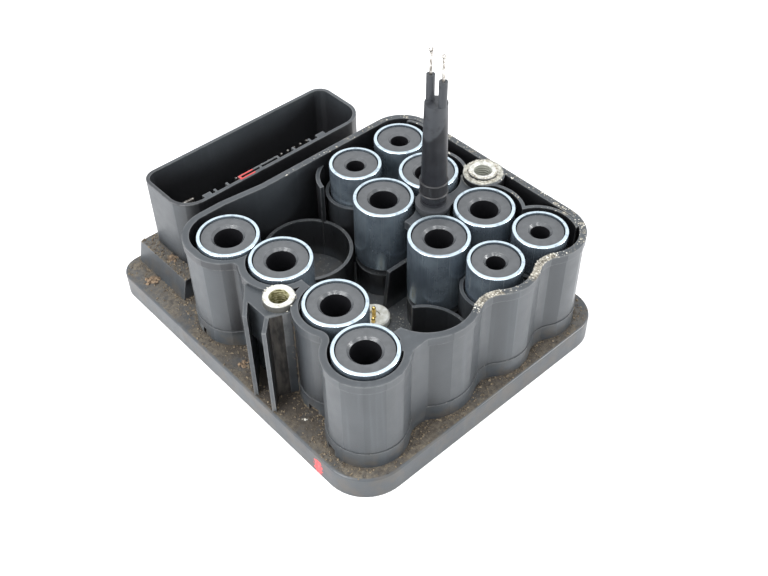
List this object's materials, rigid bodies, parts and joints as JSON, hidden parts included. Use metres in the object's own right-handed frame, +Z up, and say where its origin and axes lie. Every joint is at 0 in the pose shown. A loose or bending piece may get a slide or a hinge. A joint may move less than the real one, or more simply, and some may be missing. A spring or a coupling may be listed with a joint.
{
  "type": "anti-lock brake control module",
  "caption": "Brake control module: scalloped plastic housing with rows of steel-cased valve coils, round wells, a plug socket and a tall motor terminal.",
  "frame": {"origin": "centre of the base plate's underside", "axes": "+X to the right, +Y towards the plug socket, +Z up out of the coils and along the motor terminal"},
  "size_m": [0.0934, 0.1124, 0.0878],
  "materials": {
    "housing_plastic": "fine moulded grain, half matt",
    "cover_plastic": "matt",
    "board": "satin lacquer",
    "chip": "satin",
    "capacitor": "satin",
    "bush_metal": "dull, chalky corrosion round the rim",
    "can_steel": "plated, bright worn edge",
    "bobbin_plastic": "satin",
    "copper": "lacquered wire",
    "cushion_rubber": "matt",
    "stalk_plastic": "half matt",
    "seal_rubber": "matt",
    "pin_metal": "tinned, dull",
    "carrier_plastic": "satin",
    "contact_metal": "gold plated"
  },
  "bodies": {
    "housing": {"housing": "housing_plastic", "bottom_cover": "cover_plastic", "circuit_board": "board", "microcontroller": "chip", "valve_driver": "chip", "board_capacitors": "capacitor", "bush_left": "bush_metal", "bush_right": "bush_metal", "coil_cushions": "cushion_rubber", "motor_stalk": "stalk_plastic", "stalk_seal": "seal_rubber", "motor_pin_back": "pin_metal", "motor_pin_front": "pin_metal", "sensor_carrier": "carrier_plastic", "connector_pins": "pin_metal", "connector_blades": "pin_metal"},
    "coil_01": {"coil_can_01": "can_steel", "coil_bobbin_01": "bobbin_plastic", "coil_winding_01": "copper"},
    "coil_02": {"coil_can_02": "can_steel", "coil_bobbin_02": "bobbin_plastic", "coil_winding_02": "copper"},
    "coil_03": {"coil_can_03": "can_steel", "coil_bobbin_03": "bobbin_plastic", "coil_winding_03": "copper"},
    "coil_04": {"coil_can_04": "can_steel", "coil_bobbin_04": "bobbin_plastic", "coil_winding_04": "copper"},
    "coil_05": {"coil_can_05": "can_steel", "coil_bobbin_05": "bobbin_plastic", "coil_winding_05": "copper"},
    "coil_06": {"coil_can_06": "can_steel", "coil_bobbin_06": "bobbin_plastic", "coil_winding_06": "copper"},
    "coil_07": {"coil_can_07": "can_steel", "coil_bobbin_07": "bobbin_plastic", "coil_winding_07": "copper"},
    "coil_08": {"coil_can_08": "can_steel", "coil_bobbin_08": "bobbin_plastic", "coil_winding_08": "copper"},
    "coil_09": {"coil_can_09": "can_steel", "coil_bobbin_09": "bobbin_plastic", "coil_winding_09": "copper"},
    "coil_10": {"coil_can_10": "can_steel", "coil_bobbin_10": "bobbin_plastic", "coil_winding_10": "copper"},
    "coil_11": {"coil_can_11": "can_steel", "coil_bobbin_11": "bobbin_plastic", "coil_winding_11": "copper"},
    "coil_12": {"coil_can_12": "can_steel", "coil_bobbin_12": "bobbin_plastic", "coil_winding_12": "copper"},
    "contact_tall": {"sensor_contact_tall": "contact_metal"},
    "contact_front": {"sensor_contact_front": "contact_metal"}
  },
  "joints": [
    {"name": "coil_01_press", "type": "slide", "parent": "housing", "child": "coil_01", "axis": [0, 0, 1], "range_m": [-0.0008, 0], "stiffness_N_per_m": 2000, "springref_m": 0.0005, "deforming": ["coil_cushions"]},
    {"name": "coil_02_press", "type": "slide", "parent": "housing", "child": "coil_02", "axis": [0, 0, 1], "range_m": [-0.0008, 0], "stiffness_N_per_m": 2000, "springref_m": 0.0005, "deforming": ["coil_cushions"]},
    {"name": "coil_03_press", "type": "slide", "parent": "housing", "child": "coil_03", "axis": [0, 0, 1], "range_m": [-0.0008, 0], "stiffness_N_per_m": 2000, "springref_m": 0.0005, "deforming": ["coil_cushions"]},
    {"name": "coil_04_press", "type": "slide", "parent": "housing", "child": "coil_04", "axis": [0, 0, 1], "range_m": [-0.0008, 0], "stiffness_N_per_m": 2000, "springref_m": 0.0005, "deforming": ["coil_cushions"]},
    {"name": "coil_05_press", "type": "slide", "parent": "housing", "child": "coil_05", "axis": [0, 0, 1], "range_m": [-0.0008, 0], "stiffness_N_per_m": 2000, "springref_m": 0.0005, "deforming": ["coil_cushions"]},
    {"name": "coil_06_press", "type": "slide", "parent": "housing", "child": "coil_06", "axis": [0, 0, 1], "range_m": [-0.0008, 0], "stiffness_N_per_m": 2000, "springref_m": 0.0005, "deforming": ["coil_cushions"]},
    {"name": "coil_07_press", "type": "slide", "parent": "housing", "child": "coil_07", "axis": [0, 0, 1], "range_m": [-0.0008, 0], "stiffness_N_per_m": 2000, "springref_m": 0.0005, "deforming": ["coil_cushions"]},
    {"name": "coil_08_press", "type": "slide", "parent": "housing", "child": "coil_08", "axis": [0, 0, 1], "range_m": [-0.0008, 0], "stiffness_N_per_m": 2000, "springref_m": 0.0005, "deforming": ["coil_cushions"]},
    {"name": "coil_09_press", "type": "slide", "parent": "housing", "child": "coil_09", "axis": [0, 0, 1], "range_m": [-0.0008, 0], "stiffness_N_per_m": 2000, "springref_m": 0.0005, "deforming": ["coil_cushions"]},
    {"name": "coil_10_press", "type": "slide", "parent": "housing", "child": "coil_10", "axis": [0, 0, 1], "range_m": [-0.0008, 0], "stiffness_N_per_m": 2000, "springref_m": 0.0005, "deforming": ["coil_cushions"]},
    {"name": "coil_11_press", "type": "slide", "parent": "housing", "child": "coil_11", "axis": [0, 0, 1], "range_m": [-0.0008, 0], "stiffness_N_per_m": 2000, "springref_m": 0.0005, "deforming": ["coil_cushions"]},
    {"name": "coil_12_press", "type": "slide", "parent": "housing", "child": "coil_12", "axis": [0, 0, 1], "range_m": [-0.0008, 0], "stiffness_N_per_m": 2000, "springref_m": 0.0005, "deforming": ["coil_cushions"]},
    {"name": "contact_tall_press", "type": "slide", "parent": "housing", "child": "contact_tall", "axis": [0, 0, 1], "range_m": [-0.0012, 0], "stiffness_N_per_m": 100, "springref_m": 0.001},
    {"name": "contact_front_press", "type": "slide", "parent": "housing", "child": "contact_front", "axis": [0, 0, 1], "range_m": [-0.0012, 0], "stiffness_N_per_m": 100, "springref_m": 0.001}
  ]
}
